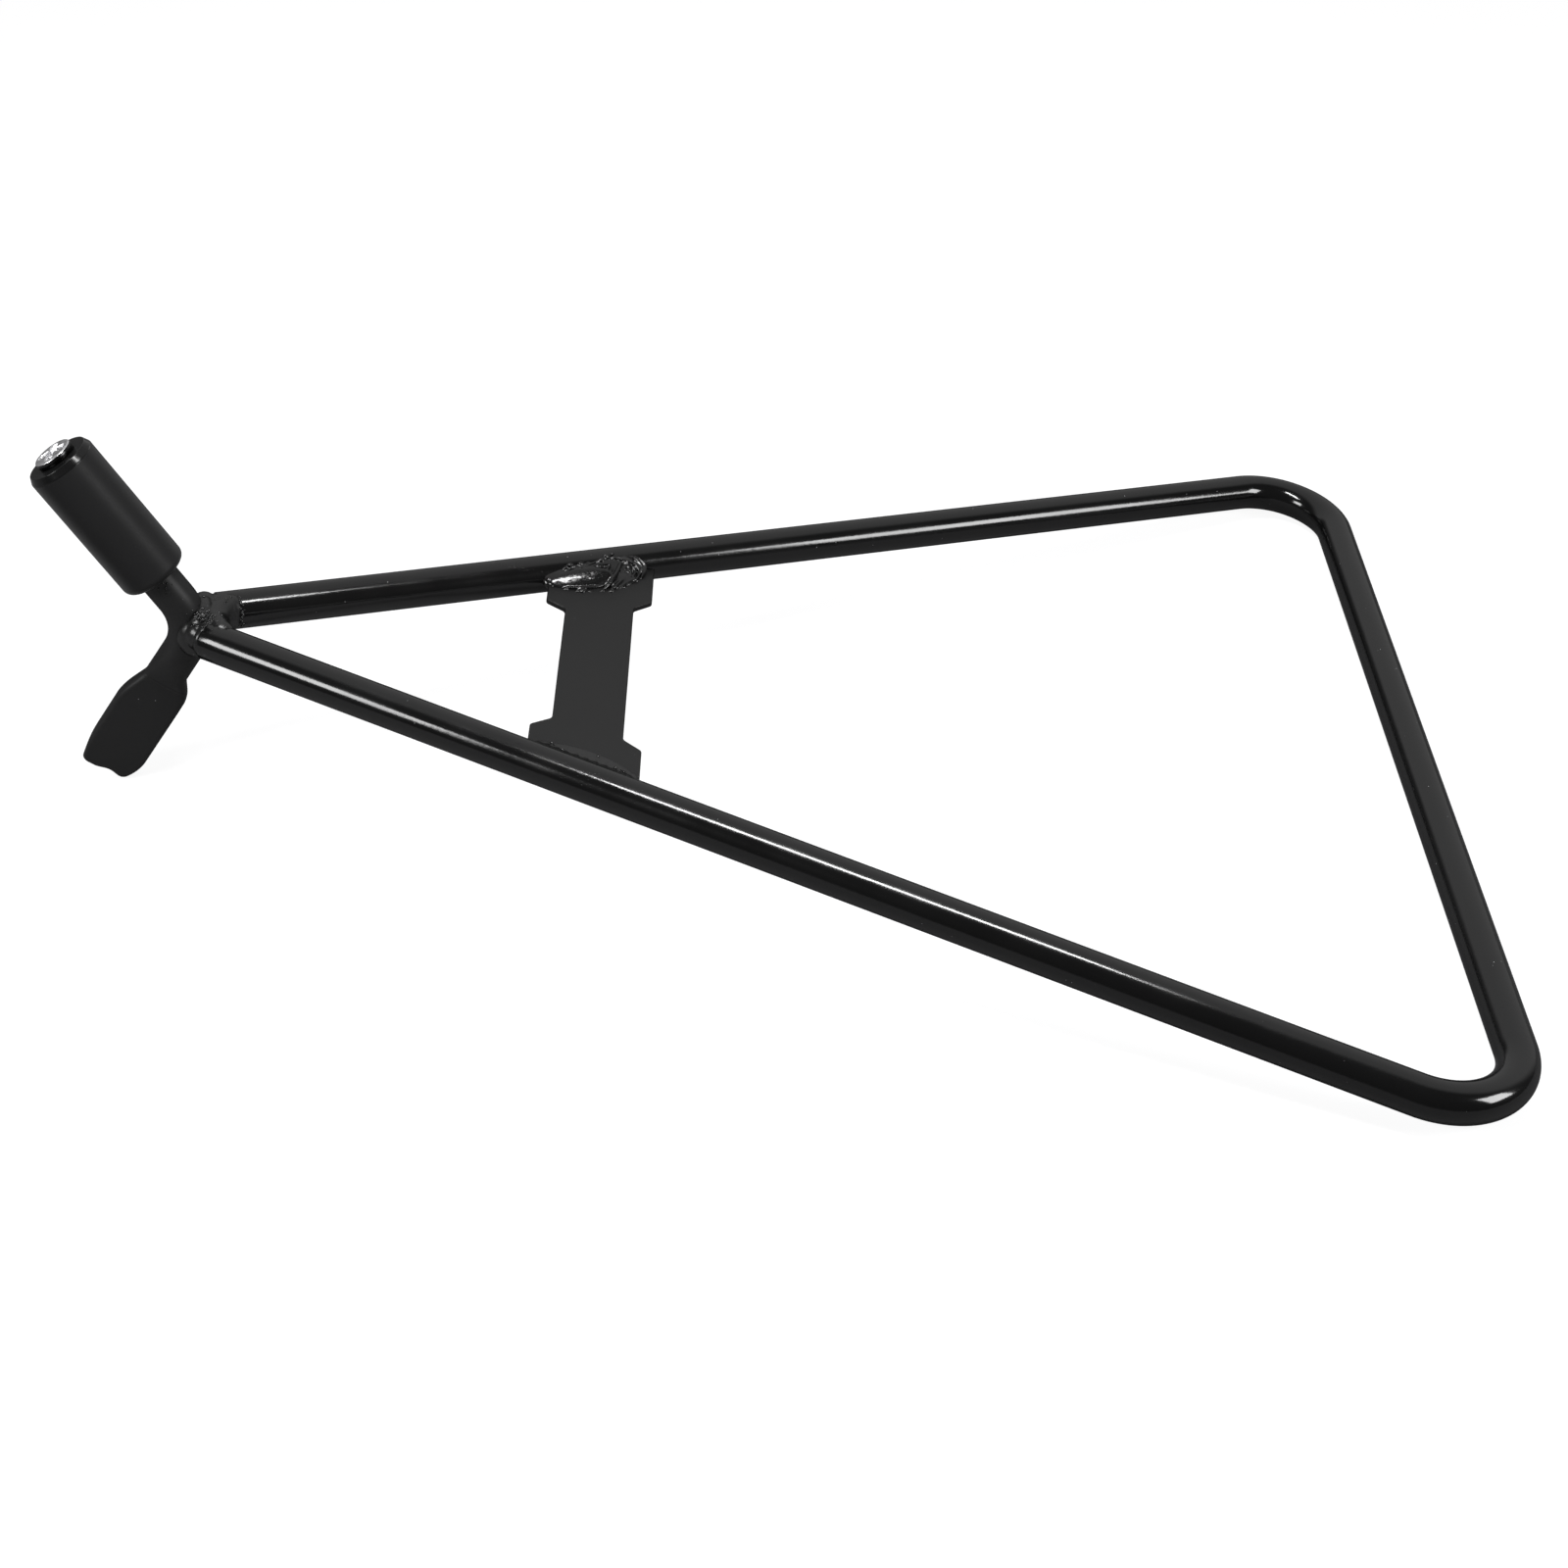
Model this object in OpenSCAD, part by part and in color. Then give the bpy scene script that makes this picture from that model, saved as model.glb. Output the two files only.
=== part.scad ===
/* [Rod frame] */
// Diameter of the steel rod that the frame and the pin rod are bent from
rod_d = 12; // [11:0.5:13]
// Distance from the apex to the base bar, measured between rod centres
frame_depth = 392; // [360:1:430]
// Angle between the two legs
apex_angle = 46.8; // [44:0.2:50]
// Radius of the two base corners, at the rod centre
corner_r = 23; // [18:1:40]
// Distance from the apex to the sawn end of each leg
leg_start = 19.5; // [17:0.5:20]

/* [Cross plate] */
// Distance from the apex to the middle of the cross plate
plate_at = 133.2; // [110:0.1:180]
// Width of the plate's waist
plate_waist = 21.5; // [16:0.5:26]
// Width of the plate's flared ends
plate_flare = 33.4; // [30:0.1:40]
// Thickness of the plate
plate_t = 2; // [1.5:0.5:3]

/* [Pin rod] */
// Distance from the apex to the vertex of the pin rod's bend
vertex_at = 14; // [13:0.5:16]
// Angle of the upper arm, turned up and back from the frame
pin_angle = 127.4; // [120:0.2:135]
// Angle of the lower arm, turned down and back from the frame
foot_angle = 117; // [112:1:122]
// Radius of the bend between the arms, at the rod centre
bend_r = 18; // [15:1:20]
// Distance from the vertex to the tip of the flattened foot
foot_end = 64.7; // [58:0.1:72]
// Width of the flattened foot
foot_w = 18.6; // [16:0.1:22]
// Thickness of the flattened foot
foot_t = 6; // [5:0.5:7]

/* [Axle sleeve] */
// Outside diameter of the sleeve
sleeve_d = 21; // [19:0.5:24]
// Length of the sleeve
sleeve_len = 45.5; // [40:0.5:52]
// Distance from the vertex to the open end of the sleeve
sleeve_start = 20.5; // [18:0.5:24]
// Diameter of the screw's head
head_d = 12; // [10.5:0.1:13]

/* [Hidden] */
round_fn = 96;
past = 1;                     // how far a cutting tool runs past a face
lap = 0.3;                    // how far a straight rod runs into the bend it meets
swell = 0.05;                 // a bend is this much thicker, so the lap stays inside it

rod_r = rod_d / 2;
half_apex = apex_angle / 2;
near = -1;                    // the side of the frame towards -Y
far = 1;

// Frame: the base vertices, the corner arcs and where each leg's straight ends
base_half = frame_depth * tan(half_apex);
corner_turn = 90 + half_apex;
corner_tangent = corner_r * tan(corner_turn / 2);
leg_end = frame_depth / cos(half_apex) - corner_tangent;

// Pin rod: the arms meet at the vertex and an arc rounds them off
pin_turn = pin_angle + foot_angle - 180;
arm_tangent = bend_r * tan(pin_turn / 2);
bend_centre_dist = bend_r / cos(pin_turn / 2);
bend_centre_angle = 180 + (pin_angle - foot_angle) / 2;

// Sleeve: a cap with an end wall, held on a turned spigot by the screw's head
sleeve_chamfer = 2;
sleeve_mouth_chamfer = 2.2;
sleeve_wall = 4;              // thickness of the end wall
running_gap = 0.05;           // radial clearance of the sleeve on the rod
end_play = 0.15;              // axial clearance at each face of the end wall
sleeve_top = sleeve_start + sleeve_len;
shoulder_at = sleeve_top - sleeve_wall - end_play;
spigot_r = 4;
spigot_end = sleeve_top + end_play;

// Screw: M6 with a low round head and a cross recess
screw_r = 3;
screw_len = 18;
tap_gap = 0.02;
head_h = 2.4;
head_chamfer = 0.6;
recess_w = 1.6;
recess_span = 7;
recess_deep = 1.6;

// Foot: the lower arm is forged flat, with one short and one long shoulder
foot_start = 17;              // where the forging begins on the arm
foot_root = 0.8 * rod_r;      // half width of the forging where it leaves the arm
short_shoulder = 11;
long_shoulder = 21;
short_nose = [10, 3.4];       // length and depth of the taper at the tip
long_nose = [13, 1.5];
foot_steps = 24;
tip_dip = 1.1;                // the shallow hollow in the tip's edge
tip_dip_at = 1.3;
tip_dip_half = 5;
flat_slope_start = 15;        // where the two flats begin to thin the arm
flat_slope_len = 10;          // length over which they reach the foot's thickness

// Plate: where its flares begin and end, measured from the middle of the frame
flare_in = [29.6, 35.4];      // apex side, base side
flare_out = [33.7, 40];
flare_skew = 1.4;             // the base-side flares sit this much nearer to the near leg
waist_shift = 0.3;            // the waist sits this much nearer to the base than the flares

// Welds
apex_bead_r = 7.4;
apex_bead_at = [13.4, 6.6, -0.6];
web_reach = 26;               // how far the crotch weld runs from the apex
web_h = 9;
plate_bead_r = 3.6;
plate_bead_over = 3;          // how far a plate weld runs past the plate's edges

function ease(t) = let (k = min(max(t, 0), 1)) k * k * (3 - 2 * k);

// Half width of the foot at u along the lower arm, for one side
function foot_half(u, shoulder, nose) =
    foot_root + (foot_w / 2 - foot_root) * ease((u - foot_start) / shoulder)
    - nose[1] * pow(max(u - (foot_end - nose[0]), 0) / nose[0], 2);

// Position of the tip's edge at w across the foot
function tip_edge(w) =
    foot_end - tip_dip
    * (abs(w - tip_dip_at) < tip_dip_half
        ? (1 + cos(180 * (w - tip_dip_at) / tip_dip_half)) / 2
        : 0);

low_corner_w = foot_half(foot_end, short_shoulder, short_nose);
back_corner_w = foot_half(foot_end, long_shoulder, long_nose);

// A point of the foot, u along the arm and w across it, in the frame's plane of symmetry
function foot_point(u, w) = [
    vertex_at + u * cos(foot_angle) + w * sin(foot_angle),
    -u * sin(foot_angle) + w * cos(foot_angle)
];

// At rest the part lies on its base bar and on the low corner of the foot
low_corner = foot_point(foot_end, low_corner_w);
back_corner = foot_point(foot_end, -back_corner_w);
rest_run = frame_depth - low_corner[0];
rest_tilt = atan(-low_corner[1] / rest_run)
    - asin(rod_r / norm([rest_run, low_corner[1]]));
rest_lift = frame_depth * sin(rest_tilt) + rod_r;
front_x = frame_depth * cos(rest_tilt) + rod_r;
back_x = back_corner[0] * cos(rest_tilt) + back_corner[1] * sin(rest_tilt);
rest_shift = -(front_x + back_x) / 2;

module lying() {
    translate([rest_shift, 0, rest_lift])
        rotate([0, rest_tilt, 0])
            children();
}

module along_leg(side) {
    rotate([0, 90, side * half_apex]) children();
}

module along_pin() {
    translate([vertex_at, 0, 0])
        rotate([0, 90 - pin_angle, 0])
            children();
}

module along_foot() {
    translate([vertex_at, 0, 0])
        rotate([0, 90 + foot_angle, 0])
            children();
}

// Turns a flat shape up into the frame's plane of symmetry
module in_pin_plane() {
    rotate([90, 0, 0]) children();
}

module rod(from, to) {
    translate([0, 0, from])
        cylinder(d = rod_d, h = to - from, $fn = round_fn);
}

module rod_arc(radius, turn) {
    rotate_extrude(angle = turn, $fn = 2 * round_fn)
        translate([radius, 0])
            circle(r = rod_r + swell, $fn = round_fn);
}

module leg(side) {
    along_leg(side) rod(leg_start, leg_end + lap);
}

module base_corner() {
    translate([frame_depth - corner_r, base_half - corner_tangent, 0])
        rod_arc(corner_r, corner_turn);
}

module frame_loop() {
    color("#26282a") {
        leg(near);
        leg(far);
        base_corner();
        mirror([0, 1, 0]) base_corner();
        translate([frame_depth, 0, 0])
            rotate([90, 0, 0])
                rod(corner_tangent - base_half - lap, base_half - corner_tangent + lap);
    }
}

module foot_outline() {
    side_u = [for (i = [0 : foot_steps]) foot_start + (foot_end - foot_start) * i / foot_steps];
    tip_w = [for (i = [1 : foot_steps - 1])
        low_corner_w - (low_corner_w + back_corner_w) * i / foot_steps];
    polygon(concat(
        [for (u = side_u) [u, foot_half(u, short_shoulder, short_nose)]],
        [for (w = tip_w) [tip_edge(w), w]],
        [for (i = [foot_steps : -1 : 0])
            [side_u[i], -foot_half(side_u[i], long_shoulder, long_nose)]]
    ));
}

// The lower arm past the bend, thinned by two sloping flats that end inside the foot
module foot_neck() {
    slope = (rod_r - foot_t / 2) / flat_slope_len;
    sunk = foot_t / 4;
    neck_end = flat_slope_start + (rod_r - sunk) / slope;
    intersection() {
        along_foot() rod(arm_tangent - lap, neck_end - past);
        translate([vertex_at, 0, 0])
            rotate([0, foot_angle, 0])
                translate([0, 0, -foot_w / 2])
                    linear_extrude(foot_w)
                        polygon([
                            [0, -rod_r - slope * flat_slope_start], [neck_end, -sunk],
                            [neck_end, sunk], [0, rod_r + slope * flat_slope_start]
                        ]);
    }
}

module pin_bend() {
    in_pin_plane()
        translate([
            vertex_at + bend_centre_dist * cos(bend_centre_angle),
            bend_centre_dist * sin(bend_centre_angle)
        ])
            rotate(90 - foot_angle)
                rod_arc(bend_r, pin_turn);
}

module pin_shaft() {
    along_pin() {
        rod(arm_tangent - lap, shoulder_at);
        translate([0, 0, shoulder_at - past])
            cylinder(r = spigot_r, h = spigot_end - shoulder_at + past, $fn = round_fn);
    }
}

module pin_rod() {
    color("#2b2d2f")
        difference() {
            union() {
                pin_shaft();
                pin_bend();
                foot_neck();
                in_pin_plane()
                    translate([vertex_at, 0, -foot_t / 2])
                        linear_extrude(foot_t)
                            rotate(-foot_angle)
                                foot_outline();
            }
            along_pin()
                translate([0, 0, spigot_end - screw_len])
                    cylinder(r = screw_r + tap_gap, h = screw_len + past, $fn = round_fn);
        }
}

// The apex-side edge runs from the near leg to the far leg, then the base-side edge runs back
module plate_outline() {
    waist = plate_waist / 2;
    flare = plate_flare / 2;
    root = base_half;
    apex_side = [
        for (side = [near, far]) let (
            corner = [
                [-flare, side * root],
                [-flare, side * flare_out[0]],
                [waist_shift - waist, side * flare_in[0]]
            ]
        ) for (i = side < 0 ? [0 : 2] : [2 : -1 : 0]) corner[i]
    ];
    base_side = [
        for (side = [far, near]) let (
            corner = [
                [flare, side * root],
                [flare, side * flare_out[1] - flare_skew],
                [waist_shift + waist, side * flare_in[1] - flare_skew]
            ]
        ) for (i = side > 0 ? [0 : 2] : [2 : -1 : 0]) corner[i]
    ];
    translate([plate_at, 0]) polygon(concat(apex_side, base_side));
}

module cross_plate() {
    color("#34373a")
        difference() {
            intersection() {
                translate([0, 0, -plate_t / 2])
                    linear_extrude(plate_t)
                        plate_outline();
                linear_extrude(2 * rod_d, center = true)
                    polygon([
                        [0, 0],
                        [frame_depth, base_half],
                        [frame_depth, -base_half]
                    ]);
            }
            leg(near);
            leg(far);
        }
}

module plug_sleeve() {
    bore_r = rod_r + running_gap;
    outer = sleeve_d / 2;
    wall_at = sleeve_len - sleeve_wall;
    color("#1f2021")
        along_pin()
            translate([0, 0, sleeve_start])
                rotate_extrude($fn = round_fn)
                    polygon([
                        [bore_r, 0],
                        [outer - sleeve_mouth_chamfer, 0],
                        [outer, sleeve_mouth_chamfer],
                        [outer, sleeve_len - sleeve_chamfer],
                        [outer - sleeve_chamfer / 2, sleeve_len],
                        [spigot_r + running_gap, sleeve_len],
                        [spigot_r + running_gap, wall_at],
                        [bore_r, wall_at]
                    ]);
}

module sleeve_screw() {
    head_r = head_d / 2;
    color("silver")
        along_pin()
            translate([0, 0, spigot_end])
                difference() {
                    union() {
                        rotate_extrude($fn = round_fn)
                            polygon([
                                [0, 0], [head_r, 0], [head_r, head_h - head_chamfer],
                                [head_r - head_chamfer, head_h], [0, head_h]
                            ]);
                        translate([0, 0, past - screw_len])
                            cylinder(r = screw_r, h = screw_len, $fn = round_fn);
                    }
                    for (quarter = [0, 90])
                        rotate(quarter)
                            translate([-recess_span / 2, -recess_w / 2, head_h - recess_deep])
                                cube([recess_span, recess_w, recess_deep + past]);
                }
}

// Everything that a weld lies against, taken away from its raw bead
module welded_rods() {
    leg(near);
    leg(far);
    pin_shaft();
    pin_bend();
    foot_neck();
}

module crotch_block() {
    half_reach = web_reach * tan(half_apex);
    linear_extrude(web_h, center = true)
        polygon([[vertex_at, 0], [web_reach, half_reach], [web_reach, -half_reach]]);
}

module weld_apex(side) {
    color("#303235")
        difference() {
            translate([apex_bead_at[0], side * apex_bead_at[1], apex_bead_at[2]])
                sphere(r = apex_bead_r, $fn = round_fn);
            welded_rods();
            crotch_block();
            translate([0, side < 0 ? 0 : -rod_d, -rod_d])
                cube([2 * rod_d, rod_d, 2 * rod_d]);
        }
}

module weld_apex_near() {
    weld_apex(near);
}

module weld_apex_far() {
    weld_apex(far);
}

module weld_apex_crotch() {
    color("#303235")
        difference() {
            crotch_block();
            welded_rods();
        }
}

module weld_plate(side) {
    from = (plate_at - plate_flare / 2) / cos(half_apex) - plate_bead_over;
    to = (plate_at + plate_flare / 2) / cos(half_apex) + plate_bead_over;
    color("#303235")
        difference() {
            rotate(side * half_apex)
                translate([from, -side * (rod_r + plate_t / 2), plate_t / 2])
                    rotate([0, 90, 0])
                        cylinder(r = plate_bead_r, h = to - from, $fn = round_fn);
            leg(side);
            translate([0, -base_half, -rod_d])
                cube([frame_depth, 2 * base_half, rod_d + plate_t / 2]);
        }
}

module weld_plate_near() {
    weld_plate(near);
}

module weld_plate_far() {
    weld_plate(far);
}

lying() frame_loop();
lying() pin_rod();
lying() cross_plate();
lying() plug_sleeve();
lying() sleeve_screw();
lying() weld_apex_near();
lying() weld_apex_far();
lying() weld_apex_crotch();
lying() weld_plate_near();
lying() weld_plate_far();
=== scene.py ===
"""Triangle side stand for an off-road motorcycle: its looks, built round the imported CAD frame.

Shapes are worked out in the part's own millimetres: the legs meet at the origin, the base bar lies
ahead along +X, +Z is up out of the frame's plane. REST then lays them where the frame lies, in metres.
"""
import math
import random

import bmesh
import bpy
import numpy as np
from mathutils import Matrix, Vector, noise
from mathutils.bvhtree import BVHTree


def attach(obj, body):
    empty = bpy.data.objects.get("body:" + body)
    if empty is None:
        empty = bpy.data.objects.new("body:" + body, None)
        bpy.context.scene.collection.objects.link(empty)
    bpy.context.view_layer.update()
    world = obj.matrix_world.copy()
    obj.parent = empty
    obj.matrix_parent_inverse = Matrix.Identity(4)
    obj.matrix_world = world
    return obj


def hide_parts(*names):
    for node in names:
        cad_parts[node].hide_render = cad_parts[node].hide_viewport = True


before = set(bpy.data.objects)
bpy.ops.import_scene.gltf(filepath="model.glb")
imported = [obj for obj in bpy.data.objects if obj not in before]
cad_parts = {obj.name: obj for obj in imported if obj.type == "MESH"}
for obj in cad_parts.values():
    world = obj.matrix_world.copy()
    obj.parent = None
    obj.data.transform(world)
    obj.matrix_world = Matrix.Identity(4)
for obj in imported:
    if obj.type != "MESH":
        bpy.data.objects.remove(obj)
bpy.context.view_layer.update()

MM = 0.001
NEAR = -1                     # the side of the frame towards -Y
FAR = 1
SIDES = 96                    # points round a rod, a multiple of four
SPATTER_SEED = 11

# Rod frame
ROD_R = 6.0
FRAME_DEPTH = 392.0           # apex to base bar, between rod centres
HALF_APEX = math.radians(23.4)
CORNER_R = 23.0               # base corners, at the rod centre
LEG_START = 19.5              # apex to the sawn end of each leg
SAWN_EDGE = 0.4               # rounding of a sawn end

# Cross plate
PLATE_AT = 133.2              # apex to the plate's middle
PLATE_WAIST = 21.5
PLATE_FLARE = 33.4
PLATE_T = 2.0
PLATE_EDGE = 0.45
FLARE_IN = (29.6, 35.4)       # frame's middle to where the flares begin: apex side, base side
FLARE_OUT = (33.7, 40.0)      # and to where they reach full width
FLARE_SKEW = 1.4              # the base-side flares sit this much nearer to the near leg
WAIST_SHIFT = 0.3             # the waist sits this much nearer to the base bar
WAIST_ROUND = 2.2
FLARE_ROUND = 1.5

# Pin rod
VERTEX_AT = 14.0              # apex of the frame to where the two arms' centre lines cross
PIN_ANGLE = math.radians(127.4)
FOOT_ANGLE = math.radians(117)
BEND_R = 18.0
FOOT_END = 64.7               # vertex to the foot's tip
FOOT_W = 18.6
FOOT_T = 6.0
FOOT_START = 17.0
FOOT_ROOT = 0.8 * ROD_R
SHORT_SIDE = (11.0, 10.0, 3.4, 2.2)   # shoulder length, nose length, nose depth, corner radius
LONG_SIDE = (21.0, 13.0, 1.5, 1.7)
FOOT_EDGE = 1.4
TIP_DIP = 1.1                 # depth of the hollow in the foot's tip, its place across and half width
TIP_DIP_AT = 1.3
TIP_DIP_HALF = 5.0
FLATS_START = 11.5            # where the round rod starts to thin to the foot's thickness
FLATS_LENGTH = 12.5
FLATS_LIP = 0.14              # the forging die leaves a low lip where the thinning ends

# Axle sleeve and its screw
SLEEVE_R = 10.5
SLEEVE_LENGTH = 45.5
SLEEVE_START = 20.5
SLEEVE_WALL = 4.0
SLEEVE_CHAMFER = (1.0, 2.0)   # across the end face, along the sleeve
RUNNING_GAP = 0.05
END_PLAY = 0.15
SPIGOT_R = 4.0                # the turned-down end that carries the sleeve's end wall
SLEEVE_TOP = SLEEVE_START + SLEEVE_LENGTH
SHOULDER_AT = SLEEVE_TOP - SLEEVE_WALL - END_PLAY
SPIGOT_END = SLEEVE_TOP + END_PLAY
HEAD_R = 6.0
HEAD_H = 2.4
RECESS_DEPTH = 1.7
RECESS_HALF = 1.35            # half width of an arm of the cross, and its reach from the middle
RECESS_REACH = 4.9
RECESS_WALL = 0.4             # how far its walls and its ends slope
RECESS_END = 1.6
SCREW_R = 3.0
SCREW_LENGTH = 17.0
HOLE_R = 3.02
HOLE_DEPTH = 18.0
THREAD_PITCH = 1.0
THREAD_DEPTH = 0.5

# Weld surfaces
LUMP_MM = 2.6                 # size of the coarse and of the fine unevenness
RIPPLE_MM = 0.9

BASE_HALF = FRAME_DEPTH * math.tan(HALF_APEX)
CORNER_TURN = math.pi / 2 + HALF_APEX
CORNER_TANGENT = CORNER_R * math.tan(CORNER_TURN / 2)
LEG_END = FRAME_DEPTH / math.cos(HALF_APEX) - CORNER_TANGENT
PIN_TURN = PIN_ANGLE + FOOT_ANGLE - math.pi
ARM_TANGENT = BEND_R * math.tan(PIN_TURN / 2)
UP = np.array((0.0, 0.0, 1.0))
SIDEWAYS = np.array((0.0, 1.0, 0.0))


# ---------------------------------------------------------------- placing

def node_points(name):
    """A CAD node's vertices, in millimetres."""
    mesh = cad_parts[name].data
    points = np.empty(3 * len(mesh.vertices), np.float32)
    mesh.vertices.foreach_get("co", points)
    return points.reshape(-1, 3).astype(float) / MM


def rest_matrix():
    """From the part's own millimetres to the frame's metres: the frame's tilt and its base bar."""
    plate = node_points("cross_plate")
    normal = np.linalg.eigh(np.cov(plate.T))[1][:, 0]
    normal = normal * np.sign(normal[2])
    tilt = math.atan2(normal[0], normal[2])
    loop = node_points("frame_loop")
    reach = np.ptp(loop @ normal) / 2
    base = Vector((loop[:, 0].max() - reach, 0, loop[:, 2].min() + reach))
    lying = Matrix.Translation(base) @ Matrix.Rotation(tilt, 4, "Y")
    return Matrix.Scale(MM, 4) @ lying @ Matrix.Translation((-FRAME_DEPTH, 0, 0))


REST = rest_matrix()


def leg_along(side):
    """Direction of a leg, away from the apex."""
    return np.array((math.cos(HALF_APEX), side * math.sin(HALF_APEX), 0.0))


def leg_inward(side):
    """Direction across a leg towards the other one, in the frame's plane."""
    return np.array((math.sin(HALF_APEX), -side * math.cos(HALF_APEX), 0.0))


def by_leg(side, s, inward, height):
    """The point s along a leg, so far inward from its centre line and so far above it."""
    return s * leg_along(side) + inward * leg_inward(side) + height * UP


def in_plane(angle):
    """Unit vector in the frame's plane of symmetry, turned up from +X."""
    return np.array((math.cos(angle), 0.0, math.sin(angle)))


VERTEX = np.array((VERTEX_AT, 0.0, 0.0))
PIN_AXIS = in_plane(PIN_ANGLE)
PIN_ACROSS = in_plane(PIN_ANGLE - math.pi / 2)


def ease(t):
    """A smooth step from 0 to 1."""
    k = min(max(t, 0.0), 1.0)
    return k * k * (3 - 2 * k)


# ---------------------------------------------------------------- mesh helpers

def cap(start, count):
    """Faces across one ring, from side to side."""
    middle = count // 2
    faces = [(start, start + 1, start + count - 1)]
    for i in range(1, middle - 1):
        faces.append((start + i, start + i + 1, start + count - i - 1, start + count - i))
    faces.append((start + middle - 1, start + middle, start + middle + 1))
    return faces


def skin(rings, looped=False):
    """Vertices and faces over a row of rings; the two ends are closed, unless the row is a loop."""
    count = len(rings[0])
    steps = len(rings) if looped else len(rings) - 1
    faces = []
    for step in range(steps):
        low = step * count
        high = (step + 1) % len(rings) * count
        for i in range(count):
            j = (i + 1) % count
            faces.append((low + i, low + j, high + j, high + i))
    if not looped:
        faces += cap(0, count) + cap(count * (len(rings) - 1), count)
    return np.concatenate(rings), faces


def circle(radius, count=SIDES):
    """Points of a circle as (across, up) pairs."""
    turns = np.arange(count) * 2 * math.pi / count
    return radius * np.stack((np.cos(turns), np.sin(turns)), axis=1)


def ring(centre, across, up, section):
    """A section's points in space."""
    return centre + np.outer(section[:, 0], across) + np.outer(section[:, 1], up)


def filleted(corners, steps=6):
    """A closed outline from (x, y, radius) corners, each rounded by an arc."""
    outline = []
    count = len(corners)
    for i, (x, y, radius) in enumerate(corners):
        here = np.array((x, y))
        if radius == 0:
            outline.append(here)
            continue
        back = np.array(corners[i - 1][:2]) - here
        ahead = np.array(corners[(i + 1) % count][:2]) - here
        back = back / np.linalg.norm(back)
        ahead = ahead / np.linalg.norm(ahead)
        half = math.acos(np.clip(back @ ahead, -1, 1)) / 2
        middle = (back + ahead) / np.linalg.norm(back + ahead)
        centre = here + middle * radius / math.sin(half)
        swing = math.pi / 2 - half
        start = back * radius / math.tan(half) + here - centre
        turn = np.sign(start[0] * (here - centre)[1] - start[1] * (here - centre)[0])
        for step in range(steps + 1):
            angle = turn * 2 * swing * step / steps
            c, s = math.cos(angle), math.sin(angle)
            outline.append(centre + np.array((c * start[0] - s * start[1], s * start[0] + c * start[1])))
    return np.array(outline)


def turned(profile, start):
    """Rings turned round the pin rod's upper arm: profile holds (radius, distance from the start) pairs."""
    return [ring(start + along * PIN_AXIS, PIN_ACROSS, SIDEWAYS, circle(radius))
            for radius, along in profile]


def make_mesh(name, vertices, faces):
    """A mesh in the part's own millimetres, with its faces turned outward."""
    mesh = bpy.data.meshes.new(name)
    mesh.from_pydata(np.asarray(vertices).tolist(), [], faces)
    shape = bmesh.new()
    shape.from_mesh(mesh)
    bmesh.ops.recalc_face_normals(shape, faces=shape.faces)
    shape.to_mesh(mesh)
    shape.free()
    return mesh


def place(name, mesh, body, material, nodes=(), flats=False):
    """Lays a mesh at rest as one piece of the object, riding on a body."""
    mesh.transform(REST)
    mesh.polygons.foreach_set("use_smooth", [True] * len(mesh.polygons))
    mesh.materials.clear()
    mesh.materials.append(material)
    piece = bpy.data.objects.new(name, mesh)
    bpy.context.scene.collection.objects.link(piece)
    if flats:
        weighted = piece.modifiers.new("flat faces", "WEIGHTED_NORMAL")
        weighted.weight = 100
    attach(piece, body)
    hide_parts(*nodes)


# ---------------------------------------------------------------- materials

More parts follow.
